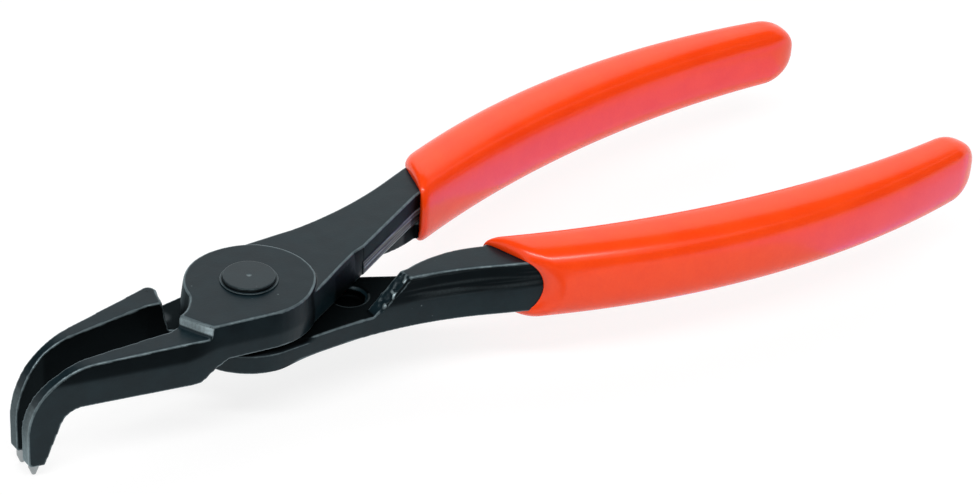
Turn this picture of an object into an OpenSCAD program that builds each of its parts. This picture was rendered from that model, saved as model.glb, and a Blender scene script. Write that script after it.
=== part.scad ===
// Circlip pliers for rings in bores: two forged levers that cross at one rivet, jaws bent
// square to the tool, hardened tip pins and dipped plastic grips.
// Millimetres. The pivot axis is Z, the handles run towards +X, the tips point down.

/* [Joint] */
// Diameter of the round joint disc of each lever
disc_d = 20.8; // [19.6:0.2:22]
// Thickness of a lever outside the joint
lever_t = 8.8; // [8:0.2:10]
// Height of the joint disc above the flat of its lever
boss_h = 0.8; // [0.4:0.1:1]
// Depth of the lap face below the middle plane of the levers
lap_drop = 1; // [0:0.1:1.2]
// Running gap between the two lap faces
lap_gap = 0.1; // [0.06:0.02:0.2]

/* [Rivet] */
// Diameter of the rivet shank
rivet_d = 5.2; // [4:0.2:6]
// Diameter of the rivet head
rivet_head_d = 8.2; // [7.6:0.2:10]
// Height of the rivet head above the joint disc
rivet_head_h = 0.8; // [0.6:0.1:1.4]
// Width of the thin collar round the foot of the head
rivet_collar_w = 0.4; // [0.2:0.1:0.8]
// Height of the thin collar
rivet_collar_h = 0.2; // [0.1:0.05:0.3]
// Bevel of the head's edge
rivet_bevel = 0.2; // [0.1:0.05:0.3]
// Radial running clearance of the shank in the upper lever
pivot_clearance = 0.05; // [0.02:0.01:0.1]

/* [Jaws] */
// Distance from the pivot to the front of the bent tips
jaw_reach = 39.6; // [38:0.2:46]
// Distance from the middle plane down to the end of a bent jaw
jaw_drop = 13.4; // [12.6:0.2:18]
// Gap between the bent jaw ends at rest
tip_gap = 1.4; // [1.2:0.1:3]
// Width of a bent jaw at its end
tip_w = 2.2; // [2:0.1:3]
// Depth of a bent jaw at its end, front to back
tip_depth = 2.6; // [2.4:0.1:3.2]
// Distance from the tips back to the knee, where the jaw narrows
knee_back = 5.6; // [4.8:0.2:6.4]
// Extra width at the knee, outside
knee_out_w = 1.2; // [0.8:0.1:1.6]
// Extra width at the knee, inside
knee_in_w = 1.6; // [1.2:0.1:2]
// Distance from the pivot to the outer corner of the jaw root
jaw_root_x = 13; // [12.4:0.2:14]
// Distance from that corner to the riser of the joint disc
riser_set = 1; // [0.6:0.1:1.4]
// Distance from the centre line to the outer edge at the jaw root
jaw_root_out = 8.6; // [7.8:0.2:9]
// Distance from the centre line to the inner edge at the jaw root
jaw_root_in = 3.4; // [3:0.1:4]
// Radius of the hollow between the joint disc and the inner edge of the jaw
jaw_fillet_r = 5.5; // [4.5:0.5:6]
// Gap between a joint disc and the end of the other lever's jaw
jaw_end_gap = 2.5; // [2:0.1:3]
// Radius of the outer corner at the end of the lower lever's jaw
jaw_end_r = 1.5; // [1:0.1:2]
// Height of the jaw's top above the middle plane at its root
jaw_top = 3.6; // [3.2:0.1:4]
// Height of the jaw's underside above the lower face of the lever
jaw_lift = 0.1; // [0:0.1:0.4]
// Fall of the jaw's top from its root to the bend
jaw_fall = 0.8; // [0.4:0.05:1.2]
// Outer radius of the bend
bend_r = 11; // [9:0.5:12]
// Inner radius of the bend
bend_inner_r = 3.5; // [2.5:0.5:4]
// Lean of the back of the bent jaw, in degrees
bend_lean = 20; // [14:1:22]

/* [Tip pins] */
// Diameter of a tip pin
pin_d = 1.6; // [1.2:0.1:1.8]
// Length of the pin's straight part outside the jaw
pin_out = 0.7; // [0.5:0.1:1.4]
// Length of the pin's tapered point
pin_point = 1.3; // [0.8:0.1:1.8]
// Diameter of the pin's end
pin_end_d = 0.7; // [0.5:0.1:1]
// Diameter of the pin's thinner tail, pressed into the jaw
pin_tail_d = 1.1; // [0.8:0.1:1.1]
// Length of the pin's tail
pin_tail = 5; // [3:0.5:6]

/* [Handles] */
// Width of the handle bar
handle_w = 7; // [6.4:0.2:7.6]
// Straight run of the handle's outer edge beside the joint
root_x = 9.5; // [7:0.5:11]
// Radius of the outward sweep beside the joint
root_r = 67; // [62:1:74]
// Outward heading of the handle where the grip begins, in degrees
handle_dir = 21.4; // [19:0.2:22]
// Straight lead of the handle bar before it curves back
handle_lead = 6; // [4:0.2:8]
// Radius of the curve of the handle
handle_r = 165; // [150:5:200]
// Angle through which the handle curves back, in degrees
handle_turn = 31; // [28:0.5:33]
// Foot of the sloping shoulder of the half lap, from the pivot
shoulder_foot = 16; // [15:0.5:17]
// Length of the sloping shoulder
shoulder_run = 6; // [4:0.5:7]
// Distance from the pivot to the bulge of the thick half's inner edge
land_x = 29.3; // [28:0.1:31]
// Distance from the centre line to that bulge
land_y = 7.7; // [7.2:0.1:8.2]
// Radius of the thick half's inner edge
land_r = 21; // [18:0.5:26]
// Narrowing of the bar to its end, on each side
tang_thin = 1.2; // [0.8:0.1:1.6]
// Distance from the bar's end to the start of the grip's round end
tang_short = 2.5; // [1:0.5:4]
// Distance from the centre line to the round seat in the lap face
seat_y = 3.6; // [3:0.1:4.4]
// Diameter of the round seat
seat_d = 5; // [3.6:0.2:5.2]
// Depth of the round seat
seat_depth = 1.6; // [1:0.1:2]

/* [Grips] */
// Wall of the grip beside the bar
grip_wall_w = 1.5; // [1.2:0.1:2]
// Wall of the grip above and below the bar
grip_wall_h = 2; // [1.4:0.1:2.4]
// Extra half width at the belly of the grip
grip_belly = 0.9; // [0.4:0.1:1.6]
// Narrowing of the half width towards the end
grip_thin_w = 1.4; // [0.8:0.1:1.6]
// Narrowing of the half height towards the end
grip_thin_h = 0.8; // [0.6:0.1:1.4]
// Length of the rounded end of the grip
grip_cap = 6.5; // [5:0.5:9]
// Slant of the grip's front rim to the bar, in degrees
rim_slant = 43; // [30:1:45]
// Distance of the rim from the start of the bar
rim_from = 3.9; // [3:0.1:5]

/* [Hidden] */
$fn = 64;
black_steel = [0.16, 0.19, 0.21];
rivet_steel = [0.24, 0.28, 0.31];
bare_steel = [0.62, 0.64, 0.66];
orange_red = [0.93, 0.25, 0.05];
eps = 0.01;
arc_steps = 16;
bar_steps = 14;

// Joint heights, from the middle plane of the levers
disc_r = disc_d/2;
half_t = lever_t/2;
boss_z = half_t + boss_h;
head_foot = boss_z + lap_gap/2;
head_top = head_foot + rivet_head_h;
upper_lap = -lap_drop + lap_gap/2;
lower_lap = lap_drop + lap_gap/2;

// Jaw places in plan, with the jaw on the -Y side
tip_out = tip_gap/2 + tip_w;
knee_x = jaw_reach - knee_back;
knee_out = tip_out + knee_out_w;
knee_in = tip_gap/2 + knee_in_w;
root_corner = [-jaw_root_x, -jaw_root_out];
tangent_a = 360 + atan2(root_corner.y, root_corner.x) + acos(disc_r/norm(root_corner));
fillet_y = jaw_fillet_r - jaw_root_in;
fillet_c = [-sqrt(pow(disc_r + jaw_fillet_r, 2) - pow(fillet_y, 2)), fillet_y];

// Sloping riser between the joint disc and the lower top of the jaw
riser_a = 24.4;
riser_r = jaw_root_x + riser_set;
riser_run = 0.8;

// Room round the other lever's disc, with the slope of the jaw's end beside it
clear_r = disc_r + jaw_end_gap;
under_slope = 0.85;
over_slope = 0.18;

// Centre of the rounded corner at the end of the lower lever's jaw, which is cut in flats
corner_flats = [15, 37, 59, 81];
corner_edge = atan2(knee_x - jaw_root_x, knee_out - jaw_root_out);
corner_in = jaw_root_out*sin(corner_edge) - jaw_root_x*cos(corner_edge) - jaw_end_r;
corner_out = clear_r + over_slope*(half_t + lower_lap) + jaw_end_r;
corner_a = corner_edge + acos(corner_in/corner_out);
corner_c = corner_out*[cos(corner_a), sin(corner_a)];

// Side profile of the jaw
jaw_bottom = half_t - jaw_lift;
bend_c = [-(jaw_reach - bend_r), jaw_top - jaw_fall - bend_r];
heel_x = -(jaw_reach - tip_depth);
inner_z = -jaw_bottom - bend_inner_r;
inner_c = [heel_x + (jaw_drop + inner_z)*tan(bend_lean) + bend_inner_r/cos(bend_lean), inner_z];
foot_bevel = 0.4;

// The lower lever is the same blank turned over, so its jaw lies higher by this much
turned_rise = jaw_bottom - jaw_top;
pin_at = [heel_x - tip_depth/2, tip_gap/2 + tip_w/2];

// Path of the handle bar, with the handle on the +Y side
heading = [cos(handle_dir), sin(handle_dir)];
outward = [-sin(handle_dir), cos(handle_dir)];
root_end = [root_x + root_r*sin(handle_dir), disc_r + root_r*(1 - cos(handle_dir))];
bar_start = root_end - handle_w/2*outward;
arc_c = bar_start + handle_lead*heading - handle_r*outward;
bar_len = handle_lead + handle_r*handle_turn*PI/180;
heel_a = -46;
tang_len = bar_len - grip_cap - tang_short;

// Half lap in the handle root
seat_bevel = 0.6;
land_c = [land_x, land_y + land_r];
land_lead = 1.2;
land_from = shoulder_foot + shoulder_run + land_lead;
land_to = root_end.x + handle_w/2;

// Grip sections
grip_sides = 32;
grip_power = 2.84;
grip_front = rim_from - (handle_w/2 + grip_wall_w + grip_belly)*tan(rim_slant);
body_steps = 12;
cap_steps = 7;
cap_turn = 84;

function arc_points(c, r, a0, a1) =
    [for (i = [0:arc_steps]) let (a = a0 + (a1 - a0)*i/arc_steps) c + r*[cos(a), sin(a)]];

function bar_heading(s) =
    s <= handle_lead ? handle_dir : handle_dir - (s - handle_lead)*180/PI/handle_r;

function bar_point(s) =
    s <= handle_lead ? bar_start + s*heading
    : arc_c + handle_r*[-sin(bar_heading(s)), cos(bar_heading(s))];

// Plan of the handle from the joint disc to the end of its tang inside the grip
module handle_plan() {
    polygon(concat(
        [[0, 0], [0, disc_r]],
        arc_points([root_x, disc_r + root_r], root_r, -90, -90 + handle_dir),
        [for (i = [0:bar_steps]) bar_edge(i/bar_steps, 1)],
        [for (i = [bar_steps:-1:0]) bar_edge(i/bar_steps, -1)],
        [root_end - handle_w*outward, disc_r*[cos(heel_a), sin(heel_a)]]));
}

// A point on one side of the bar, which narrows from the end of its straight lead
function bar_edge(t, side) =
    let (s = handle_lead + (tang_len - handle_lead)*t, h = bar_heading(s))
    bar_point(s) + side*(handle_w/2 - tang_thin*t)*[-sin(h), cos(h)];

module bar() {
    translate([0, 0, -half_t]) linear_extrude(lever_t) handle_plan();
}

// Plan of the jaw from the joint disc to the tips
module jaw_plan() {
    polygon([[0, 0], disc_r*[cos(tangent_a), sin(tangent_a)], root_corner, [-knee_x, -knee_out],
             [-jaw_reach, -tip_out], [-jaw_reach, -tip_gap/2], [-knee_x, -knee_in],
             [fillet_c.x, -jaw_root_in]]);
    difference() {
        polygon([[0, 0], fillet_c, [fillet_c.x, -jaw_root_in]]);
        translate(fillet_c) circle(jaw_fillet_r);
    }
}

// Side profile of the jaw: a tapering bar bent down square, with a leaning back
module jaw_profile() {
    polygon(concat(
        [[0, jaw_top]],
        arc_points(bend_c, bend_r, 90, 180),
        [[-jaw_reach, -jaw_drop + foot_bevel], [-jaw_reach + foot_bevel, -jaw_drop],
         [heel_x - foot_bevel/2, -jaw_drop], [heel_x, -jaw_drop + foot_bevel]],
        arc_points(inner_c, bend_inner_r, 180 - bend_lean, 90),
        [[0, -jaw_bottom]]));
}

module jaw() {
    intersection() {
        translate([0, 0, -2*jaw_drop]) linear_extrude(4*jaw_drop) jaw_plan();
        translate([0, disc_d, 0]) rotate([90, 0, 0]) linear_extrude(2*disc_d) jaw_profile();
    }
}

// Raised joint disc, with the root of the jaw up to its sloping riser
module joint_disc(lap) {
    translate([0, 0, lap]) cylinder(r = disc_r, h = boss_z - lap);
    difference() {
        translate([0, 0, lap]) linear_extrude(boss_z - lap) jaw_plan();
        rotate([0, 0, 180 + riser_a]) translate([riser_r, disc_d, 0]) rotate([90, 0, 0])
            linear_extrude(2*disc_d)
                polygon([[0, boss_z], [riser_run, 0], [riser_run, -disc_d], [jaw_reach, -disc_d],
                         [jaw_reach, disc_d], [0, disc_d]]);
    }
}

// Direction from the centre of the thick half's inner edge to its point at x
function land_angle(x) = -acos((x - land_c.x)/land_r);

// Half of the handle root that the other lever swings through, below the lap face
module lap_recess(lap) {
    fall = shoulder_run/(half_t + lap);
    translate([0, 2*disc_d, 0]) rotate([90, 0, 0]) linear_extrude(4*disc_d)
        polygon([[-disc_d, lap], [shoulder_foot, lap],
                 [shoulder_foot + fall*(lap + lever_t), -lever_t], [-disc_d, -lever_t]]);
    translate([0, 0, -lever_t]) linear_extrude(lever_t + lap)
        polygon(concat([[0, -disc_d], [land_to, -disc_d]],
                       arc_points(land_c, land_r, land_angle(land_to), land_angle(land_from)),
                       [[0, land_c.y + land_r*sin(land_angle(land_from))]]));
}

// Forged blank from the joint to the handle's end, lap face downwards, handle on the +Y side
module blank(lap) {
    difference() {
        union() {
            joint_disc(lap);
            difference() {
                bar();
                lap_recess(lap);
            }
        }
        translate([shoulder_foot, seat_y, lap - eps]) cylinder(d = seat_d, h = seat_depth + eps);
        translate([shoulder_foot, seat_y, lap - eps])
            cylinder(r1 = seat_d/2 + seat_bevel, r2 = seat_d/2, h = seat_bevel);
    }
}

// Everything is built about the middle plane and set down so that the rivet's top face is at zero
module seat_level() {
    translate([0, 0, -head_top]) children();
}

module tip_bore() {
    translate([pin_at.x, -pin_at.y, -jaw_drop - eps]) cylinder(d = pin_tail_d, h = pin_tail + eps);
}

module upper_lever() {
    deep = lever_t + upper_lap;
    color(black_steel) seat_level() difference() {
        union() {
            blank(upper_lap);
            difference() {
                jaw();
                translate([0, 0, -lever_t])
                    cylinder(r1 = clear_r + under_slope*deep, r2 = clear_r, h = deep);
            }
        }
        translate([0, 0, -lever_t]) cylinder(d = rivet_d + 2*pivot_clearance, h = 2*lever_t);
        tip_bore();
    }
}

module lower_lever() {
    tall = lever_t + lower_lap;
    color(black_steel) seat_level() difference() {
        union() {
            mirror([0, 1, 0]) mirror([0, 0, 1]) blank(lower_lap);
            difference() {
                translate([0, 0, turned_rise]) mirror([0, 1, 0]) jaw();
                translate([0, 0, -lower_lap])
                    cylinder(r1 = clear_r, r2 = clear_r + over_slope*tall, h = tall);
                for (a = corner_flats) translate([corner_c.x, corner_c.y, -lower_lap]) rotate([0, 0, a])
                    translate([jaw_end_r, -disc_d, 0]) cube([disc_d, 2*disc_d, tall]);
            }
        }
        translate([0, 0, -lever_t]) cylinder(d = rivet_d, h = 2*lever_t);
        translate([0, 0, turned_rise]) mirror([0, 1, 0]) tip_bore();
    }
}

// Rivet with a flat head on each side and a thin collar at the foot of each head
module pivot_rivet() {
    head_r = rivet_head_d/2;
    color(rivet_steel) seat_level() rotate_extrude()
        polygon([[0, -boss_z - rivet_head_h], [head_r - rivet_bevel, -boss_z - rivet_head_h],
                 [head_r, -boss_z - rivet_head_h + rivet_bevel], [head_r, -boss_z - rivet_collar_h],
                 [head_r + rivet_collar_w, -boss_z - rivet_collar_h], [head_r + rivet_collar_w, -boss_z],
                 [rivet_d/2, -boss_z], [rivet_d/2, head_foot], [head_r + rivet_collar_w, head_foot],
                 [head_r + rivet_collar_w, head_foot + rivet_collar_h],
                 [head_r, head_foot + rivet_collar_h],
                 [head_r, head_top - rivet_bevel], [head_r - rivet_bevel, head_top], [0, head_top]]);
}

// One ring of the grip's skin at distance s along the bar
function grip_ring(s, shrink) =
    let (p = bar_point(s), h = bar_heading(s), u = max(0, s/bar_len),
         a = shrink*(handle_w/2 + grip_wall_w + grip_belly*sin(180*u) - grip_thin_w*u*u),
         b = shrink*(half_t + grip_wall_h - grip_thin_h*u*u))
    [for (i = [0:grip_sides - 1])
        let (t = 360*i/grip_sides, c = cos(t), v = sin(t),
             x = a*sign(c)*pow(abs(c), 2/grip_power), z = b*sign(v)*pow(abs(v), 2/grip_power))
        [p.x - x*sin(h), p.y + x*cos(h), z]];

// Lofted skin of a grip: a swelling body and a round end
module grip_skin() {
    body_end = bar_len - grip_cap;
    body = [for (i = [0:body_steps]) [grip_front + (body_end - grip_front)*i/body_steps, 1]];
    cap = [for (i = [1:cap_steps]) let (a = cap_turn*i/cap_steps) [body_end + grip_cap*sin(a), cos(a)]];
    stations = concat(body, cap);
    n = grip_sides;
    last = len(stations) - 1;
    points = [for (st = stations) each grip_ring(st[0], st[1])];
    sides = [for (r = [0:last - 1]) for (i = [0:n - 1])
        let (j = (i + 1) % n, p = r*n + i, q = r*n + j)
        each [[p, p + n, q + n], [p, q + n, q]]];
    front = [for (i = [0:n - 1]) i];
    back = [for (i = [n - 1:-1:0]) last*n + i];
    polyhedron(points, concat(sides, [front, back]));
}

// Dipped grip: the skin, cut by its slanted rim and hollow for the bar
module grip() {
    rim = bar_point(rim_from);
    difference() {
        grip_skin();
        translate([rim.x, rim.y, 0]) rotate([0, 0, handle_dir - rim_slant])
            translate([-4*handle_w, -2*handle_w, -lever_t])
                cube([4*handle_w, 4*handle_w, 2*lever_t]);
        bar();
    }
}

module upper_grip() {
    color(orange_red) seat_level() grip();
}

module lower_grip() {
    color(orange_red) seat_level() mirror([0, 1, 0]) grip();
}

// Hardened tip pin: a tapered point, a straight peg seated on the jaw's end, and a pressed-in tail
module tip(peg) {
    translate([pin_at.x, -pin_at.y, -jaw_drop - pin_out - pin_point]) {
        cylinder(d1 = pin_end_d, d2 = pin_d, h = pin_point);
        translate([0, 0, pin_point]) cylinder(d = pin_d, h = peg);
        translate([0, 0, pin_point + peg]) cylinder(d = pin_tail_d, h = pin_tail);
    }
}

module upper_tip() {
    color(bare_steel) seat_level() tip(pin_out);
}

module lower_tip() {
    color(bare_steel) seat_level() mirror([0, 1, 0]) tip(pin_out + turned_rise);
}

lower_lever();
upper_lever();
pivot_rivet();
lower_grip();
upper_grip();
lower_tip();
upper_tip();
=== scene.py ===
import math

import bmesh
import bpy
import numpy as np
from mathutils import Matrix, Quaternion, Vector, noise
from mathutils.kdtree import KDTree


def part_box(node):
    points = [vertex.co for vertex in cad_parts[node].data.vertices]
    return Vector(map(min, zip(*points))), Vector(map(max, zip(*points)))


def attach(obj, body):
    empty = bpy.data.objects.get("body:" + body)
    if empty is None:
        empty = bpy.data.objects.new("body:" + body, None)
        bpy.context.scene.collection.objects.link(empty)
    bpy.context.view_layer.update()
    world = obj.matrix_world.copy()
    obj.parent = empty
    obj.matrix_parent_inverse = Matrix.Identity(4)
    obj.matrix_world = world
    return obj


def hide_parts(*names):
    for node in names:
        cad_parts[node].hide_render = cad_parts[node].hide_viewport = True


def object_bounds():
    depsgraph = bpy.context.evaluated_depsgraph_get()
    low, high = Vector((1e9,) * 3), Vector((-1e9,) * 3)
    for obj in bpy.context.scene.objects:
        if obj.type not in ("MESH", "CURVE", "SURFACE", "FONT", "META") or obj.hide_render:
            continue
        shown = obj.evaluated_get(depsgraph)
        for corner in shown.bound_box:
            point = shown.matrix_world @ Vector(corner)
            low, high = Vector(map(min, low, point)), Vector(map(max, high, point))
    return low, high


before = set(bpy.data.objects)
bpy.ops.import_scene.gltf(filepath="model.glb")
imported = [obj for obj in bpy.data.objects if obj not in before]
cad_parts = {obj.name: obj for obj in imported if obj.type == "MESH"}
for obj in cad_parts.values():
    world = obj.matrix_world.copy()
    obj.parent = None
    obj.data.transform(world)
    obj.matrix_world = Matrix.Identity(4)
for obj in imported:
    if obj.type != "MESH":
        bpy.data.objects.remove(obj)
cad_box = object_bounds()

# Levers: two drop forgings that cross at the joint, trimmed, bent at the jaws and blackened.
# A forging has no sharp edge: its walls lean in above the parting line, its edges are rounded over
# and its skin is uneven. The trimmed and torn places show bare metal.
MM = 0.001
scene = bpy.context.scene
mid_z = sum(corner.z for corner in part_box("upper_grip")) / 2
lever_half = 4.4 * MM
lap_drop = 0.95 * MM
jaw_top = 3.6 * MM
hub_top = 5.2 * MM
hub_near = 10 * MM
hub_far = 16 * MM
parting_at_hub = 1.4 * MM
seat_x = 15.9 * MM
seat_y = 3.6 * MM
seat_r = 2.7 * MM
rim_x = 35 * MM

black_deep = (0.0028, 0.0085, 0.0120, 1.0)
black_pale = (0.0050, 0.0140, 0.0185, 1.0)
# The near black of the painted shade on inner walls, in recesses and under the hub.
black_painted_shade = (0.0022, 0.0030, 0.0034, 1.0)
# Pale grey of the rubbed edges, light enough to be a painted highlight as well as wear.
wear_and_highlight_grey = (0.150, 0.195, 0.210, 1.0)
bare_steel = (0.46, 0.57, 0.60, 1.0)
dust = (0.16, 0.20, 0.21, 1.0)
oxide_tint = (0.82, 0.95, 1.0, 1.0)
oxide_relief = 0.06 * MM


class Wire:
    """A node socket. Sums on wires add Math nodes, and node() adds any other node."""

    def __init__(self, tree, socket=None):
        self.tree = tree
        self.socket = socket

    def node(self, kind, settings=None, sockets=None, out=None):
        """Adds a node, gives it its settings, values and links, and returns one of its outputs."""
        made = self.tree.nodes.new(kind)
        for name, value in (settings or {}).items():
            setattr(made, name, value)
        for name, value in (sockets or {}).items():
            target = next(s for s in made.inputs if s.enabled and name in (s.name, s.identifier))
            if isinstance(value, Wire):
                self.tree.links.new(value.socket, target)
            else:
                target.default_value = value
        found = [s for s in made.outputs if s.enabled and out in (None, s.name, s.identifier)]
        return Wire(self.tree, found[0]) if found else None

    def also(self, name):
        """Another output of the node that this wire comes from."""
        return Wire(self.tree, self.socket.node.outputs[name])

    def math(self, operation, *values):
        """A Math node on one or two numbers or wires."""
        sockets = dict(zip(("Value", "Value_001"), values))
        return self.node("ShaderNodeMath", {"operation": operation}, sockets)

    def __add__(self, other):
        return self.math("ADD", self, other)

    def __sub__(self, other):
        return self.math("SUBTRACT", self, other)

    def __rsub__(self, other):
        return self.math("SUBTRACT", other, self)

    def __mul__(self, other):
        return self.math("MULTIPLY", self, other)

    def __truediv__(self, other):
        return self.math("DIVIDE", self, other)

    __radd__ = __add__
    __rmul__ = __mul__

    def most(self, other):
        return self.math("MAXIMUM", self, other)

    def least(self, other):
        return self.math("MINIMUM", self, other)

    def step(self, low, high):
        """0 below low, 1 above high, smooth between."""
        return self.node("ShaderNodeMapRange", {"interpolation_type": "SMOOTHSTEP"},
                         {"Value": self, "From Min": low, "From Max": high}, "Result")

    def grain(self, scale, detail, roughness=0.55):
        """Noise of the given scale, read at this wire's vector."""
        return self.node("ShaderNodeTexNoise", {},
                         {"Vector": self, "Scale": scale, "Detail": detail, "Roughness": roughness}, "Fac")

    def between(self, low, high):
        """The colour low where this wire is 0, and high where it is 1."""
        return self.node("ShaderNodeMix", {"data_type": "RGBA"},
                         {"Factor": self, "A": low, "B": high}, "Result")

    def bump(self, strength, depth):
        """The normals of a surface that rises with this wire."""
        return self.node("ShaderNodeBump", {},
                         {"Strength": strength, "Distance": depth, "Height": self}, "Normal")


def new_finish(name):
    """An empty material, and the first wire of its tree: the surface's own coordinates."""
    finish = bpy.data.materials.new(name)
    finish.use_nodes = True
    finish.node_tree.nodes.clear()
    return finish, Wire(finish.node_tree).node("ShaderNodeTexCoord", {}, {}, "Object")


def close_finish(place, sockets):
    """Joins a finish's values to its shader and its output."""
    shader = place.node("ShaderNodeBsdfPrincipled", {}, sockets)
    place.node("ShaderNodeOutputMaterial", {}, {"Surface": shader})


def blackened_steel(name, wear_and_highlight_share, gloss):
    """Black oxide on steel: mottled and dusty, rubbed pale along the edges with the pale partly a painted
    highlight, bare where it was cut, and near black with painted shade where shade falls.
    """
    finish, place = new_finish(name)
    mottle = place.grain(scale=260.0, detail=5.0, roughness=0.62)
    fine = place.grain(scale=2600.0, detail=3.0, roughness=0.6)
    patch = place.grain(scale=700.0, detail=2.0).step(0.34, 0.60)
    cells = place.node("ShaderNodeTexVoronoi", {"feature": "F1"},
                       {"Vector": place, "Scale": 620.0}, "Distance")
    dusty = place.grain(scale=95.0, detail=2.0).step(0.58, 0.66)
    speck = (1 - cells.step(0.06, 0.13)) * dusty
    edge, bare, painted_shade = (place.node("ShaderNodeAttribute", {"attribute_name": kept}, {}, "Fac")
                        for kept in ("edge", "bare", "painted_shade"))
    # Edge wear, whose pale colour also paints the edge highlights.
    wear_and_highlight = edge.step(0.35, 0.95) * (0.60 + 0.40 * patch) * wear_and_highlight_share
    opened = bare * (0.75 + 0.25 * fine.step(0.35, 0.62))
    oxide = mottle.step(0.30, 0.72).between(black_deep, black_pale)
    # Painted shade darkens the oxide where the painted shade attribute is set.
    oxide_shade_and_wear = wear_and_highlight.between(painted_shade.between(oxide, black_painted_shade), wear_and_highlight_grey)
    trimmed = opened.between(oxide_shade_and_wear, bare_steel)
    close_finish(place, {
        "Base Color": (speck * 0.5).between(trimmed, dust),
        "Metallic": opened.most(0.7 * wear_and_highlight).most(painted_shade),
        "Roughness": 0.27 + 0.14 * mottle + 0.10 * opened + 0.2 * speck + 0.25 * painted_shade,
        "Normal": (fine * 0.6 + mottle * 0.9).bump(0.30, oxide_relief),
        "Specular IOR Level": gloss,
        "Specular Tint": oxide_tint,
    })
    return finish


def plain_mesh(piece):
    """The piece's mesh with its modifiers worked in."""
    bpy.context.view_layer.update()
    graph = bpy.context.evaluated_depsgraph_get()
    return bpy.data.meshes.new_from_object(piece.evaluated_get(graph))


def place_piece(name, mesh):
    """A new object at the origin, with its place in its mesh."""
    piece = bpy.data.objects.new(name, mesh)
    scene.collection.objects.link(piece)
    return piece


def triples(items, name):
    """The three numbers that each item of a mesh holds under a name, as an array."""
    flat = np.empty(len(items) * 3)
    items.foreach_get(name, flat)
    return flat.reshape(-1, 3)


def points_of(mesh):
    return triples(mesh.vertices, "co")


def normals_of(mesh):
    return triples(mesh.vertex_normals, "vector")


def edge_pairs(mesh):
    """The two vertices of each edge, both ways round."""
    pairs = np.empty(len(mesh.edges) * 2, int)
    mesh.edges.foreach_get("vertices", pairs)
    pairs = pairs.reshape(-1, 2)
    return np.concatenate((pairs, pairs[:, ::-1]))


def neighbour_mean(pairs, values):
    """The mean of a value over each vertex's neighbours."""
    here, there = pairs.T
    count = np.maximum(np.bincount(here, minlength=len(values)), 1)
    columns = values.reshape(len(values), -1).T
    means = [np.bincount(here, column[there], len(values)) / count for column in columns]
    return np.stack(means, axis=1).reshape(values.shape)


def soften(mesh, co, share, passes):
    """Evens the points out where share is above 0, a little more with each pass."""
    pairs = edge_pairs(mesh)
    pairs = pairs[share[pairs[:, 0]] > 0]
    for _ in range(passes):
        co += 0.5 * share[:, None] * (neighbour_mean(pairs, co) - co)


def mark(mesh, name, values):
    """Keeps a value for each vertex, for the finish to read."""
    kept = mesh.attributes.new(name, "FLOAT", "POINT")
    kept.data.foreach_set("value", np.asarray(values, np.float32))


edge_full = 0.0085 * MM


def mark_edges(mesh, share=1.0):
    """Keeps how sharply the surface turns outwards, which the edge wear and its painted highlight follow.
    """
    co = points_of(mesh)
    pairs = edge_pairs(mesh)
    turn = -np.sum((neighbour_mean(pairs, co) - co) * normals_of(mesh), axis=1) / edge_full
    turn = np.clip(turn, 0, 1)
    mark(mesh, "edge", share * (0.5 * turn + 0.5 * neighbour_mean(pairs, turn)))


def ramp(values, low, high):
    """0 at low, 1 at high, smooth between, for an array."""
    t = np.clip((values - low) / (high - low), 0, 1)
    return t * t * (3 - 2 * t)


def band(values, low, low_full, high_full, high):
    """1 between the two middle values, 0 outside the outer two, smooth between."""
    return ramp(values, low, low_full) * ramp(values, high, high_full)


forging_voxel = 0.16 * MM
edge_rounding = 11
weld_distance = 0.001 * MM
most_faces = 190000


def even_copy(name, node):
    """A copy of a lever with an even skin of small faces and its edges rounded over."""
    source = bpy.data.meshes.new(name)
    work = bmesh.new()
    work.from_mesh(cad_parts[node].data)
    bmesh.ops.remove_doubles(work, verts=work.verts, dist=weld_distance)
    work.to_mesh(source)
    work.free()
    piece = place_piece(name, source)
    remesh = piece.modifiers.new("even skin", "REMESH")
    remesh.mode = "VOXEL"
    remesh.voxel_size = forging_voxel
    smooth = piece.modifiers.new("rounded edges", "SMOOTH")
    smooth.factor = 0.5
    smooth.iterations = edge_rounding
    piece.data = plain_mesh(piece)
    piece.modifiers.clear()
    return piece


def thinned(piece):
    """Joins faces on the flats until the piece has no more than it may."""
    faces = sum(len(face.vertices) - 2 for face in piece.data.polygons)
    thin = piece.modifiers.new("fewer faces", "DECIMATE")
    thin.ratio = min(1.0, most_faces / faces)
    piece.data = plain_mesh(piece)
    piece.modifiers.clear()


wall_upright = 0.25
wall_every = 3


def outer_walls(co, out):
    """Each vertex's distance from the lever's nearest outer wall, in plan, and that wall's direction."""
    outer = (np.abs(out[:, 2]) < wall_upright) & (out[:, 1] * co[:, 1] > 0) & (np.abs(co[:, 1]) > MM)
    upper = np.abs(co[:, 2] - mid_z - lever_half / 2) < lever_half / 2 - MM
    wall = np.flatnonzero(outer & upper)[::wall_every]
    tree = KDTree(len(wall))
    for i in wall:
        tree.insert((co[i, 0], co[i, 1], 0.0), i)
    tree.balance()
    found = [tree.find((x, y, 0.0))[1:] for x, y, _ in co]
    nearest = out[[i for i, _ in found]] * (1, 1, 0)
    nearest /= np.maximum(np.linalg.norm(nearest, axis=1), 1e-6)[:, None]
    return np.array([gap for _, gap in found]), nearest


to_tips = (-1, 0, 0)
to_grips = (1, 0, 0)


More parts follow.
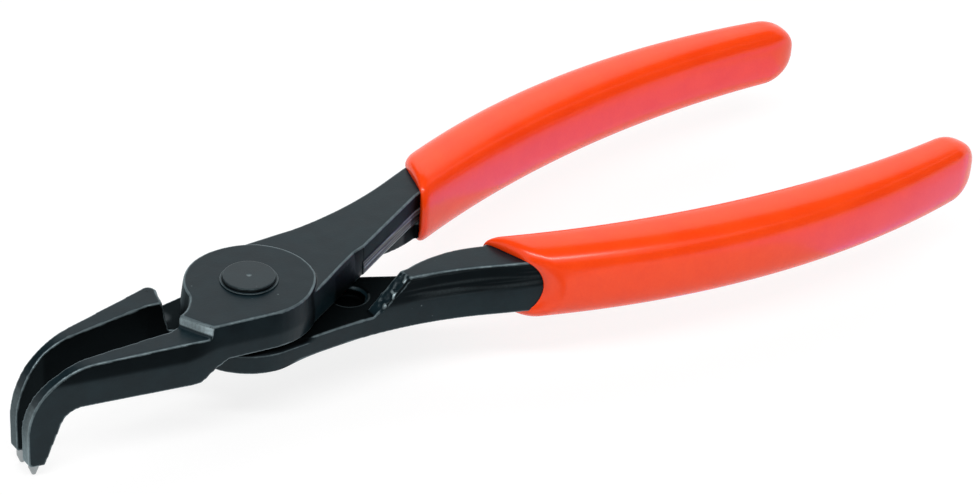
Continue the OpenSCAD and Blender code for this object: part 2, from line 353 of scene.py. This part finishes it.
class Skin:
    """A lever's skin before it is worked, with values for each vertex that its marks are made from.
    side is 1 where the lap faces down and -1 where it faces up."""

    def __init__(self, mesh, side):
        self.side = side
        self.co = points_of(mesh)
        self.out = normals_of(mesh)
        self.x, self.y, z = self.co.T
        self.rise = z - mid_z
        self.above_lap = -side * self.rise + lap_drop
        self.wall_gap, self.wall_out = outer_walls(self.co, self.out)
        self.from_pivot = np.hypot(self.x, self.y)
        self.from_seat = np.hypot(self.x - seat_x, np.abs(self.y) - seat_y)
        self.near_hub = ramp(np.abs(self.x), hub_far, hub_near)
        self.parting = parting_at_hub * self.near_hub
        self.upright = ramp(np.abs(self.out[:, 2]), 0.6, 0.3)
        outwards = self.out[:, 1] * np.sign(self.y)
        self.inner = self.upright * ramp(-outwards, 0.3, 0.6)
        self.outer = self.upright * ramp(outwards, 0.3, 0.6)

    def facing(self, direction, low, high):
        """1 where the skin faces a direction, 0 where it turns away. low and high are cosines."""
        return ramp(self.out @ np.array(direction), low, high)


draft = math.tan(math.radians(8))
draft_reach = 2.4 * MM
draft_start = 0.8 * MM


def draft_lean(skin):
    """How far each point leans in, because the outer walls taper above the parting line."""
    raised = np.maximum(skin.rise - skin.parting, 0)
    share = np.clip(1 - skin.wall_gap / draft_reach, 0, 1)
    return share * draft * raised * raised / (raised + draft_start)


shoulder_foot = 16 * MM
shoulder_run = 6 * MM
torn_width = 2.1 * MM
torn_reach = 0.7 * MM
torn_from = 5 * MM
torn_unworn = 0.7


def torn_strip(skin):
    """The outer side of the half lap's sloping shoulder, where the metal tore."""
    head = shoulder_foot + shoulder_run
    fall = (lever_half + lap_drop) / shoulder_run
    off_slope = np.abs(skin.above_lap - (skin.x - shoulder_foot) * fall) / math.hypot(1, fall)
    along = band(skin.x, shoulder_foot - MM, shoulder_foot + 0.5 * MM, head - MM, head + MM)
    across = ramp(skin.wall_gap, torn_width, 0.7 * torn_width)
    outside = ramp(skin.y * skin.side, torn_from, torn_from + MM)
    return along * across * outside * ramp(off_slope, torn_reach, 0.2 * torn_reach)


front_from = -31 * MM
front_full = -34 * MM
front_painted_light = 0.20
tip_from = -6 * MM
tip_full = -12 * MM
tip_bare = 0.25


def fronts_rubbed_and_painted_light(skin):
    """The fronts of the bent jaw ends, made lighter all over as painted light, and rubbed bare besides near
    the near jaw's tip.
    """
    front = skin.facing(to_tips, 0.84, 0.95) * ramp(skin.x, front_from, front_full)
    near_tip = ramp(skin.rise, tip_from, tip_full) * (skin.y < 0)
    return front * (front_painted_light + tip_bare * near_tip)


step_x = -8 * MM
step_y = -2 * MM
step_bare = 0.95


def trimmed_step(skin):
    """The step from the near jaw up to the hub's top, trimmed after the blackening."""
    height = ramp(skin.rise, jaw_top + 0.05 * MM, jaw_top + 0.3 * MM)
    height = height * ramp(skin.rise, hub_top - 0.2 * MM, hub_top - 0.45 * MM)
    near = ramp(skin.x, step_x, step_x - MM) * ramp(skin.y, step_y, step_y - MM)
    return height * near * skin.facing(to_tips, 0.35, 0.6)


flash_from = 15 * MM
flash_full = 19 * MM
flash_half = 1.7 * MM


def flash_band(skin):
    """The sheared band of flash along each handle's inner wall."""
    height = ramp(np.abs(skin.rise), flash_half, flash_half - 0.3 * MM)
    return skin.inner * height * ramp(skin.x, flash_from, flash_full)


drawn_from = 20 * MM
drawn_full = 24 * MM


def drawn_walls(skin):
    """The upper part of each handle's outer wall, which the trimming die streaked."""
    outer = skin.upright * ramp(skin.wall_gap, 0.6 * MM, 0.2 * MM)
    return outer * ramp(skin.rise, -0.5 * MM, 0.5 * MM) * ramp(skin.x, drawn_from, drawn_full)


groove_depth = 0.7 * MM
groove_shade_gain = 4
groove_foot = -2.1 * MM
groove_top = -1.3 * MM
groove_from_r = 9 * MM
groove_full_r = 9.9 * MM
groove_front = -10 * MM
groove_back = 6 * MM


def lap_groove(skin):
    """The groove round the near side of the lower disc, where the upper hub's edge laps it."""
    height = ramp(skin.rise, groove_foot, groove_top) * ramp(skin.from_pivot, groove_from_r, groove_full_r)
    along = band(skin.x, groove_front, groove_front + 4 * MM, groove_back - 5 * MM, groove_back)
    return height * along * (skin.y < 0) * (skin.side < 0)


mouth_gap = 4.5 * MM
mouth_top = 1.5 * MM


def grip_mouth(skin):
    """The lower part of the bar's inner side where it goes into the grip, which gets painted shade."""
    inside = ramp(skin.wall_gap, mouth_gap, mouth_gap + MM) * ramp(skin.x, rim_x, rim_x + 0.6 * MM)
    return inside * ramp(skin.rise, mouth_top, mouth_top - MM)


surround_w = 1.2 * MM
surround_top = 2.5 * MM


def seat_surround(skin):
    """The lap face and the edges close round the seat: painted shade on the upper lever, and no edge wear
    on either.
    """
    ring = ramp(skin.from_seat, seat_r + surround_w, seat_r + surround_w - 0.5 * MM)
    ring = ring * ramp(np.abs(skin.y) - seat_y, surround_w, surround_w - 0.9 * MM)
    return ring * ramp(skin.rise, surround_top, surround_top - MM)


notch_y = -3 * MM
outer_shade = 0.65
hub_unshade = 0.4


def painted_shade_faces(skin):
    """The faces that get painted shade: inner walls, the notch and the wall behind the hub, the open lap
    with its seat, and in part the outer walls above the parting line."""
    below_flash = ramp(skin.rise, flash_half, -flash_half)
    below_flash = below_flash * band(skin.x, flash_from, flash_full, rim_x - MM, rim_x)
    notch = skin.upright * skin.facing(to_tips, 0.2, 0.5) * (skin.x < 0)
    notch = notch * ramp(skin.y, notch_y, notch_y + MM)
    hub_back = skin.upright * skin.facing(to_grips, 0.45, 0.7) * (skin.side > 0)
    lap = skin.facing((0, 0, -skin.side), 0.7, 0.9) * ramp(np.abs(skin.above_lap), 0.5 * MM, 0.3 * MM)
    lap = lap * ramp(skin.wall_gap, 1.0 * MM, 1.8 * MM)
    seat = (skin.from_seat < seat_r) & (np.abs(skin.rise) < lever_half - MM)
    above_parting = ramp(skin.rise, skin.parting - 0.4 * MM, skin.parting + 0.6 * MM)
    shade = skin.outer * above_parting * (outer_shade - hub_unshade * skin.near_hub)
    surround = seat_surround(skin) * (skin.side > 0)
    return np.maximum.reduce([skin.inner * (1 - below_flash), notch, hub_back, lap, seat, shade, surround])


skin_depth = 0.030 * MM
skin_scale = 420.0
flash_proud = 0.20 * MM
flash_level = 0.8
drawn_depth = 0.06 * MM
streak_scale = Vector((90.0, 90.0, 2400.0))
streak_bare = 0.10
streak_bare_spread = 0.16
torn_depth = 0.26 * MM
torn_level = 0.4
torn_scale = 1100.0
chip_gain = 6
chip_start = 0.7
chip_reach = 1.4 * MM
least_share = 0.02


def noise_at(points, scale, share):
    """Smooth noise from -1 to 1 at the points whose share is above 0, and 0 at the others."""
    found = np.zeros(len(points))
    for i in np.flatnonzero(share):
        found[i] = noise.noise(Vector(points[i]) * scale)
    return found


def roughened(skin, flash, drawn, torn):
    """How deep the roughness sinks each point, and how bare the flash, streaks and chips leave it."""
    flash, drawn, torn = (np.where(share > least_share, share, 0) for share in (flash, drawn, torn))
    uneven = noise_at(skin.co, skin_scale, np.ones(len(skin.co)))
    streak = noise_at(skin.co, streak_scale, flash + drawn)
    scratch = np.maximum(streak, 0)
    rough = noise_at(skin.co, torn_scale, torn)
    depth = skin_depth * (0.5 + 0.5 * uneven)
    depth -= flash * flash_proud * (flash_level + streak)
    depth += drawn * drawn_depth * scratch
    depth += torn * torn_depth * (torn_level + rough)
    at_wall = np.clip((chip_reach - skin.wall_gap) / MM, 0, 1)
    chip = at_wall * np.clip(-chip_gain * rough - chip_start, 0, 1)
    sheared = flash * (streak_bare + streak_bare_spread * streak)
    return depth, np.maximum.reduce([sheared, streak_bare * drawn * scratch, torn * chip])


runout_from = -3.5 * MM
runout_to = 7 * MM
runout_fade = 3 * MM
runout_end = 13 * MM
runout_low = -4.0 * MM
runout_inner_r = 6 * MM
runout_outer_r = 8 * MM
runout_side = -4 * MM
runout_passes = 8


def run_out(mesh, co, skin):
    """Under the lower lever's near side the boss runs out into the handle in a long curve."""
    x, y, z = co.T
    depth = lever_half + (hub_top - lever_half) * ramp(x, runout_to, runout_from)
    under = ramp(skin.rise, runout_low, runout_low - 0.3 * MM) * ramp(y, 0, runout_side)
    under = under * ramp(skin.from_pivot, runout_inner_r, runout_outer_r)
    under = under * ramp(x, runout_from, runout_from + runout_fade) * (x < runout_end)
    z += under * (mid_z - depth - z)
    soften(mesh, co, under, runout_passes)


knee_low = -2.2 * MM
knee_front = -15 * MM
knee_back = -7.5 * MM
knee_fade = 2 * MM
knee_passes = 18


def even_foot(mesh, co, skin):
    """The foot of the upper lever's jaw is ground to an even slope."""
    foot = ramp(skin.rise, knee_low + 0.8 * MM, knee_low)
    foot = foot * band(co[:, 0], knee_front, knee_front + knee_fade, knee_back - knee_fade, knee_back)
    soften(mesh, co, foot, knee_passes)


def forged_lever(name, node, body, side):
    """A forged lever in place of its plain node. side is as in Skin."""
    piece = even_copy(name, node)
    mesh = piece.data
    skin = Skin(mesh, side)
    flash = flash_band(skin)
    torn = torn_strip(skin)
    step = trimmed_step(skin)
    mouth_shade = grip_mouth(skin)
    groove = lap_groove(skin)
    # Painted shadow in the lap groove, which also takes the edge wear out of it.
    groove_shade = np.minimum(groove_shade_gain * groove, 1)
    depth, chipped = roughened(skin, flash, drawn_walls(skin), torn)
    co = skin.co - (skin.out * depth[:, None] + skin.wall_out * draft_lean(skin)[:, None])
    co[:, :2] *= (1 - groove_depth * groove / np.maximum(skin.from_pivot, MM))[:, None]
    if side < 0:
        run_out(mesh, co, skin)
    else:
        even_foot(mesh, co, skin)
    mesh.vertices.foreach_set("co", co.ravel())
    mesh.update()
    wear_and_highlight = (1 - torn_unworn * torn) * (1 - mouth_shade) * (1 - seat_surround(skin)) * (1 - groove_shade)
    mark_edges(mesh, wear_and_highlight)
    mark(mesh, "bare", np.maximum.reduce([fronts_rubbed_and_painted_light(skin), step_bare * step, chipped]))
    # Painted shade on the shaded faces, the bar's mouth in the grip and the lap groove, but not on the
    # flash band or the trimmed step.
    painted_shade_share = painted_shade_faces(skin) * (1 - flash) * (1 - step)
    mark(mesh, "painted_shade", np.maximum.reduce([painted_shade_share, mouth_shade, groove_shade]))
    thinned(piece)
    piece.data.shade_smooth()
    piece.data.materials.clear()
    piece.data.materials.append(lever_black)
    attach(piece, body)
    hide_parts(node)


lever_black = blackened_steel("blackened forged steel", wear_and_highlight_share=0.9, gloss=0.25)
forged_lever("lower_lever_forging", "lower_lever", "lower_arm", -1)
forged_lever("upper_lever_forging", "upper_lever", "upper_arm", 1)

# Rivet: one turned steel pin, peened over the levers with a flat head on each side. Each head
# has a rolled edge and a thin collar at its foot, and the top one keeps its centre-punch mark.
rivet_low, rivet_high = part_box("pivot_rivet")
shank_r = 2.6 * MM
head_r = 4.1 * MM
head_h = 0.8 * MM
head_round = 0.22 * MM
flat_edge = 0.06 * MM
collar_w = 0.4 * MM
collar_h = 0.2 * MM
collar_valley = 0.18 * MM
punch_r = 0.42 * MM
punch_floor_r = 0.7 * punch_r
punch_depth = 0.06 * MM
punch_bare = 0.22
rivet_sides = 96


def arc(centre, radius, start, end, steps):
    """Points on an arc in a turned profile, as (radius, height), from one angle to another."""
    angles = [math.radians(start + (end - start) * i / steps) for i in range(steps + 1)]
    return [(centre[0] + radius * math.cos(a), centre[1] + radius * math.sin(a)) for a in angles]


def turned(name, profile, axis, finish, sides):
    """A solid turned about a vertical axis. The profile runs from the axis at one end to the other."""
    work = bmesh.new()
    rings = []
    for r, z in profile:
        count = 1 if r == 0 else sides
        angles = [2 * math.pi * i / sides for i in range(count)]
        ring = [(axis[0] + r * math.cos(a), axis[1] + r * math.sin(a), z) for a in angles]
        rings.append([work.verts.new(point) for point in ring])
    for one, two in zip(rings, rings[1:]):
        for i in range(sides):
            j = (i + 1) % sides
            corners = [one[i % len(one)], one[j % len(one)], two[j % len(two)], two[i % len(two)]]
            work.faces.new(list(dict.fromkeys(corners)))
    bmesh.ops.recalc_face_normals(work, faces=work.faces)
    mesh = bpy.data.meshes.new(name)
    work.to_mesh(mesh)
    work.free()
    mark_edges(mesh)
    mesh.shade_smooth()
    mesh.materials.append(finish)
    return place_piece(name, mesh)


def rivet_head(face, into, punched):
    """Half profile of a head, from the axis out and down to the shank. into is -1 under a top face."""
    foot = face + into * head_h
    pit = face + into * punch_depth
    middle = [(0.0, face)]
    if punched:
        middle = [(0.0, pit), (punch_floor_r, pit), (punch_r, face), (punch_r + flat_edge, face)]
    flat = [(head_r / 2, face), (head_r - head_round - flat_edge, face)]
    rim = arc((head_r - head_round, -head_round), head_round, start=90, end=0, steps=6)
    rim = [(r, face - into * z) for r, z in rim]
    valley = [(head_r, foot - into * collar_h), (head_r + collar_w / 3, foot - into * collar_valley)]
    bead_r = collar_h / 2
    bead = arc((head_r + collar_w - bead_r, bead_r), bead_r, start=90, end=-90, steps=8)
    bead = [(r, foot - into * z) for r, z in bead]
    return middle + flat + rim + valley + bead + [(shank_r, foot)]


rivet_black = blackened_steel("blackened rivet steel", wear_and_highlight_share=0.35, gloss=0.46)
top_half = rivet_head(rivet_high.z, -1, True)
low_half = rivet_head(rivet_low.z, 1, False)
rivet = turned("rivet_turned", top_half + low_half[::-1], (0.0, 0.0), rivet_black, rivet_sides)
rivet_points = points_of(rivet.data)
from_axis = np.hypot(rivet_points[:, 0], rivet_points[:, 1])
in_punch = (from_axis < 0.8 * punch_r) & (rivet_points[:, 2] > mid_z)
# Painted shade on the side walls of the heads and collars.
head_side_shade = (np.abs(normals_of(rivet.data)[:, 2]) < 0.8) & (from_axis < head_r + collar_w / 2)
mark(rivet.data, "bare", punch_bare * in_punch)
mark(rivet.data, "painted_shade", head_side_shade)
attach(rivet, "lower_arm")
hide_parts("pivot_rivet")

# Tip pins: hardened steel pins, ground bright, pressed into the bent jaw ends. The peg seats on
# the jaw and its end tapers so that it finds the hole of a ring.
pin_r = 0.8 * MM
pin_end_r = 0.35 * MM
pin_point = 1.3 * MM
pin_tail_r = 0.55 * MM
pin_tail = 5 * MM
pin_round = 0.10 * MM
pin_sides = 48
pin_dark = (0.20, 0.22, 0.225, 1.0)
pin_bright = (0.42, 0.45, 0.46, 1.0)
pin_scratch = 0.02 * MM


def ground_steel(name):
    """Bare hardened steel with the fine rings that the grinding wheel left."""
    finish, place = new_finish(name)
    rings = place.node("ShaderNodeTexWave", {"wave_type": "BANDS", "bands_direction": "Z"},
                       {"Vector": place, "Scale": 2200.0, "Distortion": 2.0, "Detail": 2.0}, "Fac")
    cloud = place.grain(scale=900.0, detail=3.0)
    close_finish(place, {
        "Base Color": (0.35 * rings + 0.65 * cloud).between(pin_dark, pin_bright),
        "Metallic": 1.0,
        "Roughness": 0.26 + 0.14 * cloud,
        "Normal": rings.bump(0.2, pin_scratch),
    })
    return finish


pin_steel = ground_steel("ground pin steel")
for node, body in (("lower_tip", "lower_arm"), ("upper_tip", "upper_arm")):
    low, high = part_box(node)
    seat = high.z - pin_tail
    end = arc((pin_end_r - pin_round, low.z + pin_round), pin_round, start=-90, end=-20, steps=5)
    shoulder = arc((pin_r - pin_round, seat - pin_round), pin_round, start=0, end=90, steps=5)
    profile = [(0.0, low.z)] + end + [(pin_r, low.z + pin_point)] + shoulder
    profile += [(pin_tail_r, seat), (pin_tail_r, high.z), (0.0, high.z)]
    axis = ((low.x + high.x) / 2, (low.y + high.y) / 2)
    pin = turned(node + "_pin", profile, axis, pin_steel, pin_sides)
    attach(pin, body)
    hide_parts(node)

# Grips: plastic sleeves dipped over the handle bars. Each is thick at the palm, closed and round
# at the end, and ends at the front in a slanted rim with a soft rolled lip round the bar.
disc_r = 10.4 * MM
handle_w = 7 * MM
root_x = 9.5 * MM
root_r = 67 * MM
handle_dir = math.radians(21.4)
handle_lead = 6 * MM
handle_r = 165 * MM
handle_turn = math.radians(31)
bar_len = handle_lead + handle_r * handle_turn
bar_start_x = root_x + (root_r + handle_w / 2) * math.sin(handle_dir)
bar_start_y = disc_r + root_r * (1 - math.cos(handle_dir)) - handle_w / 2 * math.cos(handle_dir)
tang_thin = 1.2 * MM
grip_cap = 6.5 * MM
cap_wall = 2.5 * MM
body_end = bar_len - grip_cap
tang_len = body_end - cap_wall
wall_w = 1.5 * MM
wall_h = 2.0 * MM
belly = 0.9 * MM
thin_w = 1.4 * MM
thin_h = 0.8 * MM
skin_inset = 0.06 * MM
section_power = 2.84
bar_power = 9.0
bar_gap = 0.05 * MM
rim_slant = math.tan(math.radians(38))
rim_from = 4.2 * MM
rim_dish = 2.2 * MM
rim_passes = 6
lip_share = 0.72
lip_len = 2.0 * MM
inner_lip = 0.1 * MM
grip_sides = 96
hollow_rings = 12
inner_lip_rings = 4
lip_rings = 8
body_rings = 110
cap_rings = 25

orange_deep = (0.93, 0.050, 0.0010, 1.0)
orange_pale = (0.98, 0.062, 0.0018, 1.0)
orange_sheen = (0.50, 0.52, 1.0, 1.0)
dip_ripple = 0.08 * MM


def outer_half(s):
    """Half width and half height of the grip at a distance along the bar."""
    u = max(0.0, s / bar_len)
    return (handle_w / 2 + wall_w + belly * math.sin(math.pi * u) - thin_w * u * u - skin_inset,
            lever_half + wall_h - thin_h * u * u - skin_inset)


def inner_half(s):
    """Half width and half height of the hollow at a distance along the bar."""
    t = min(1.0, max(0.0, (s - handle_lead) / (tang_len - handle_lead)))
    return handle_w / 2 - tang_thin * t + bar_gap, lever_half + bar_gap


def section(half_of, power, end, share=0.0, from_rim=0.0, inset=0.0):
    """One ring of the straight sleeve. share runs from 0 at the slanted rim to 1 at end."""
    ring = []
    for i in range(grip_sides):
        angle = 2 * math.pi * i / grip_sides
        c, v = math.cos(angle), math.sin(angle)
        reach = (abs(c) ** power + abs(v) ** power) ** (-1 / power)
        across, up = c * reach, v * reach
        s = rim_from
        for _ in range(rim_passes):
            wide, tall = half_of(s)
            lateral = (wide - inset) * across
            dish = rim_dish * max(0.0, across) * (1 - up * up)
            front = rim_from + lateral * rim_slant + dish + from_rim
            s = front + (end - front) * share
        ring.append((s, lateral, (tall - inset) * up))
    return ring


def hollow():
    """Rings of the hollow, from its closed end to the inside of the lip."""
    rings = [section(inner_half, bar_power, tang_len, 1 - i / hollow_rings) for i in range(hollow_rings)]
    for i in range(inner_lip_rings + 1):
        a = math.radians(90 * i / inner_lip_rings)
        widen = inner_lip * (1 - math.cos(a))
        back = inner_lip * (1 - math.sin(a))
        rings.append(section(inner_half, bar_power, body_end, from_rim=back, inset=-widen))
    return rings


def rolled_lip():
    """Rings that roll from the bar out to the skin."""
    rings = []
    for i in range(lip_rings + 1):
        a = math.radians(90 - 90 * i / lip_rings)
        back = lip_len * (1 - math.sin(a))
        skin = section(outer_half, section_power, body_end, from_rim=back)
        bar = section(inner_half, bar_power, body_end, from_rim=back)
        share = lip_share * (1 - math.cos(a))
        rings.append([Vector(far).lerp(Vector(near), share) for far, near in zip(skin, bar)])
    return rings


def palm():
    """Rings of the skin, from the lip to the start of the round end."""
    return [section(outer_half, section_power, body_end, i / body_rings, lip_len)
            for i in range(1, body_rings + 1)]


def round_end():
    """Rings of the closed end, up to its last point."""
    rings = []
    for i in range(1, cap_rings):
        a = math.radians(90 * i / cap_rings)
        s = body_end + grip_cap * math.sin(a)
        half = outer_half(s)
        flat = section(lambda _: half, section_power, s, share=1.0)
        rings.append([(s, y * math.cos(a), z * math.cos(a)) for _, y, z in flat])
    return rings


def straight_sleeve(name):
    """The grip as if its bar were straight: x along the bar, y across it, z up."""
    work = bmesh.new()
    rings = hollow() + rolled_lip() + palm() + round_end()
    rings = [[work.verts.new(point) for point in ring] for ring in rings]
    for one, two in zip(rings, rings[1:]):
        for i in range(grip_sides):
            j = (i + 1) % grip_sides
            work.faces.new((one[i], one[j], two[j], two[i]))
    for ring, s in ((rings[0], tang_len), (rings[-1], bar_len)):
        pole = work.verts.new((s, 0.0, 0.0))
        for i in range(grip_sides):
            work.faces.new((ring[i], ring[(i + 1) % grip_sides], pole))
    bmesh.ops.recalc_face_normals(work, faces=work.faces)
    mesh = bpy.data.meshes.new(name)
    work.to_mesh(mesh)
    work.free()
    return mesh


def bend_along_handle():
    """Geometry nodes that lay the straight sleeve along the handle: a short lead, then an arc."""
    tree = bpy.data.node_groups.new("bend along the handle", "GeometryNodeTree")
    sizes = ("Start X", "Start Y", "Middle Z", "Heading", "Lead", "Radius", "Side")
    kinds = {"Geometry": "Geometry", **dict.fromkeys(sizes, "Float"), "Finish": "Material"}
    for name, kind in kinds.items():
        tree.interface.new_socket(name, in_out="INPUT", socket_type="NodeSocket" + kind)
    tree.interface.new_socket("Geometry", in_out="OUTPUT", socket_type="NodeSocketGeometry")
    entry = Wire(tree).node("NodeGroupInput")
    given = {name: entry.also(name) for name in kinds}
    heading, lead, radius, side = (given[name] for name in ("Heading", "Lead", "Radius", "Side"))
    place = entry.node("GeometryNodeInputPosition")
    along = place.node("ShaderNodeSeparateXYZ", {}, {"Vector": place}, "X")
    across, up = along.also("Y"), along.also("Z")
    straight = along.least(lead)
    here = heading - (along - lead).most(0.0) / radius
    sin_here, cos_here = here.math("SINE", here), here.math("COSINE", here)
    sin_start, cos_start = here.math("SINE", heading), here.math("COSINE", heading)
    x = given["Start X"] + straight * cos_start + radius * (sin_start - sin_here) - across * sin_here
    y = given["Start Y"] + straight * sin_start + radius * (cos_here - cos_start) + across * cos_here
    z = up + given["Middle Z"]
    laid = place.node("ShaderNodeCombineXYZ", {}, {"X": x, "Y": y * side, "Z": z})
    bent = place.node("GeometryNodeSetPosition", {}, {"Geometry": given["Geometry"], "Position": laid})
    mirrored = side.math("LESS_THAN", side, 0.0)
    faced = place.node("GeometryNodeFlipFaces", {}, {"Mesh": bent, "Selection": mirrored})
    whole = place.node("GeometryNodeRealizeInstances", {}, {"Geometry": faced})
    dressed = place.node("GeometryNodeSetMaterial", {}, {"Geometry": whole, "Material": given["Finish"]})
    place.node("NodeGroupOutput", {}, {"Geometry": dressed})
    return tree


def dipped_plastic(name):
    """Soft glossy plastic, a little cloudy, with the faint ripple of a dipped skin."""
    finish, place = new_finish(name)
    cloud = place.grain(scale=160.0, detail=4.0, roughness=0.55)
    fine = place.grain(scale=2300.0, detail=2.0, roughness=0.5)
    ripple = place.grain(scale=330.0, detail=2.0, roughness=0.4)
    tone = (0.7 * cloud + 0.3 * fine).step(0.30, 0.70)
    close_finish(place, {
        "Base Color": tone.between(orange_deep, orange_pale),
        "Roughness": 0.20 + 0.06 * cloud + 0.03 * fine,
        "Normal": (ripple + 0.12 * fine).bump(0.10, dip_ripple),
        "Specular IOR Level": 0.40,
        "Coat Weight": 0.08,
        "Coat Roughness": 0.08,
        "Sheen Weight": 0.04,
        "Sheen Roughness": 0.18,
        "Sheen Tint": orange_sheen,
    })
    return finish


grip_orange = dipped_plastic("dipped orange plastic")
bend = bend_along_handle()
for node, body, side in (("upper_grip", "upper_arm", 1.0), ("lower_grip", "lower_arm", -1.0)):
    sleeve = place_piece(node + "_sleeve", straight_sleeve(node + "_sleeve"))
    laying = sleeve.modifiers.new("bend along the handle", "NODES")
    laying.node_group = bend
    values = {"Start X": bar_start_x, "Start Y": bar_start_y, "Middle Z": mid_z, "Heading": handle_dir,
              "Lead": handle_lead, "Radius": handle_r, "Side": side, "Finish": grip_orange}
    for item in bend.interface.items_tree:
        if item.in_out == "INPUT" and item.name in values:
            laying[item.identifier] = values[item.name]
    sleeve.data = plain_mesh(sleeve)
    sleeve.modifiers.clear()
    sleeve.data.shade_smooth()
    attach(sleeve, body)
    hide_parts(node)

# Studio: a white table under the tool, a softbox behind it that the gloss doesn't mirror, and a narrow
# key strip above the front. Black cards darken what the gloss mirrors and two lilac ones tint it.
floor_z = cad_box[0].z - 0.05 * MM
floor_half = 8.0
floor_glow = 0.80
floor_shade = (0.22, 0.22, 0.22, 1.0)
paper_white = (0.80, 0.80, 0.80, 1.0)
full_white = (1.0, 1.0, 1.0, 1.0)
ambient = 0.40
tool_middle = Vector((0.045, 0.0, 0.0))
along_x = Vector((1.0, 0.0, 0.0))
along_y = Vector((0.0, 1.0, 0.0))
upward = Vector((0.0, 0.0, 1.0))
camera_side = Vector((-0.616, -0.788, 0.0))
camera_right = Vector((-camera_side.y, camera_side.x, 0.0))


def seen_rays(start):
    """1 for the rays that show the background: straight from the camera, mirrored or passed through."""
    camera_ray = start.node("ShaderNodeLightPath", {}, {}, "Is Camera Ray")
    onward = camera_ray.also("Is Glossy Ray") + camera_ray.also("Is Transmission Ray")
    return (camera_ray + onward).least(1.0)


def white_table(name):
    """Pale paper, which glows white where it is seen and still keeps the tool's shadow."""
    finish, place = new_finish(name)
    paper = place.node("ShaderNodeBsdfDiffuse", {}, {"Color": paper_white})
    glow = place.node("ShaderNodeEmission", {}, {"Color": full_white, "Strength": floor_glow})
    shade = place.node("ShaderNodeBsdfDiffuse", {}, {"Color": floor_shade})
    shown = place.node("ShaderNodeAddShader", {}, {"Shader": glow, "Shader_001": shade})
    mixed = place.node("ShaderNodeMixShader", {},
                       {"Fac": seen_rays(place), "Shader": paper, "Shader_001": shown})
    place.node("ShaderNodeOutputMaterial", {}, {"Surface": mixed})
    return finish


def flat_card(name, centre, across, up, finish):
    """A flat card of the studio, given by its centre and its two half sides."""
    corners = [centre - across - up, centre + across - up, centre + across + up, centre - across + up]
    mesh = bpy.data.meshes.new(name)
    mesh.from_pydata(corners, [], [(0, 1, 2, 3)])
    mesh.materials.append(finish)
    card = place_piece(name, mesh)
    return card


table_white = white_table("white table")
flat_card("white_table", floor_z * upward, floor_half * along_x, floor_half * along_y, table_white)

room = bpy.data.worlds.new("studio")
room.use_nodes = True
room.node_tree.nodes.clear()
scene.world = room
sky = Wire(room.node_tree)
sky_level = ambient + (1.0 - ambient) * seen_rays(sky)
background = sky.node("ShaderNodeBackground", {}, {"Color": full_white, "Strength": sky_level})
sky.node("ShaderNodeOutputWorld", {}, {"Surface": background})


def soft_lamp(name, toward, elevation, distance, wide, tall, watts):
    """A soft lamp on the given side of the tool, aimed at its middle."""
    lamp = bpy.data.lights.new(name, "AREA")
    lamp.shape = "RECTANGLE"
    lamp.size = wide
    lamp.size_y = tall
    lamp.energy = watts
    lit = bpy.data.objects.new(name, lamp)
    scene.collection.objects.link(lit)
    angle = math.radians(elevation)
    lit.location = tool_middle + distance * (math.cos(angle) * toward + math.sin(angle) * upward)
    lit.rotation_mode = "QUATERNION"
    lit.rotation_quaternion = (tool_middle - lit.location).to_track_quat("-Z", "Y")
    lit.visible_camera = False
    return lit


softbox = soft_lamp("back softbox", -camera_side, elevation=42, distance=0.9, wide=1.1, tall=0.7, watts=4.4)
softbox.visible_glossy = False
soft_lamp("key strip", camera_side, elevation=62, distance=0.7, wide=0.8, tall=0.10, watts=3.6)

black_card, card_place = new_finish("black card")
close_finish(card_place, {"Base Color": (0.01, 0.01, 0.01, 1.0), "Roughness": 0.9})
lilac_card, card_place = new_finish("lilac card")
close_finish(card_place, {"Base Color": (0.0, 0.0, 0.0, 1.0), "Emission Color": (0.62, 0.46, 1.0, 1.0),
                          "Emission Strength": 1.8})

# Cards that only the gloss sees, each with its centre and half sides: lilac ones on the table between
# and beside the handles, black ones upright in front and at the sides, on the table and overhead
table_top = (floor_z + MM) * upward
front_centre = tool_middle + 0.6 * camera_side + 0.39 * camera_right + 0.25 * upward
ceiling_centre = tool_middle - 0.15 * camera_side - 0.3 * camera_right + 0.8 * upward
gap_centre = table_top + Vector((0.106, -0.003, 0.0))
end_centre = table_top + Vector((0.23, -0.165, 0.0))
table_centre = table_top + Vector((-0.24, -0.335, 0.0))
right_centre = tool_middle + Vector((0.49, -0.63, 0.28))
left_centre = tool_middle + Vector((-0.33, 0.62, 0.45))
cards = (
    ("lilac_gap_card", lilac_card, gap_centre, 0.036 * along_x, 0.017 * along_y),
    ("lilac_end_card", lilac_card, end_centre, 0.13 * along_x, 0.135 * along_y),
    ("front_flag", black_card, front_centre, 0.81 * camera_right, 0.25 * upward),
    ("table_card", black_card, table_centre, 0.28 * along_x, 0.295 * along_y),
    ("right_flag", black_card, right_centre, 0.47 * along_x + 0.37 * along_y, 0.24 * upward),
    ("side_flag", black_card, left_centre, 0.27 * along_x + 0.14 * along_y, 0.3 * upward),
    ("ceiling_card", black_card, ceiling_centre, 1.45 * camera_right, 0.41 * camera_side),
)
for name, finish, centre, half_across, half_up in cards:
    card = flat_card(name, centre, half_across, half_up, finish)
    card.visible_camera = False
    card.visible_diffuse = False
    card.visible_shadow = False
    card.visible_transmission = False

# Camera: a long lens at the photograph's place, above the near side of the tips. It is rolled a
# little, as the photograph is, and its depth of field stays off.
camera_at = Vector((-0.203815, -0.324571, 0.245969))
camera_aim = Vector((0.042017, -0.004795, -0.006))
camera_roll = math.radians(3.64)
camera_data = bpy.data.cameras.new("camera")
camera_data.sensor_width = 36.0
camera_data.lens = 109.88
camera_data.clip_start = 0.01
camera_data.clip_end = 50.0
camera = bpy.data.objects.new("camera", camera_data)
scene.collection.objects.link(camera)
camera.location = camera_at
camera.rotation_mode = "QUATERNION"
facing = (camera_aim - camera_at).to_track_quat("-Z", "Y")
camera.rotation_quaternion = facing @ Quaternion((0.0, 0.0, 1.0), camera_roll)
scene.camera = camera

scene.view_settings.view_transform = "Standard"
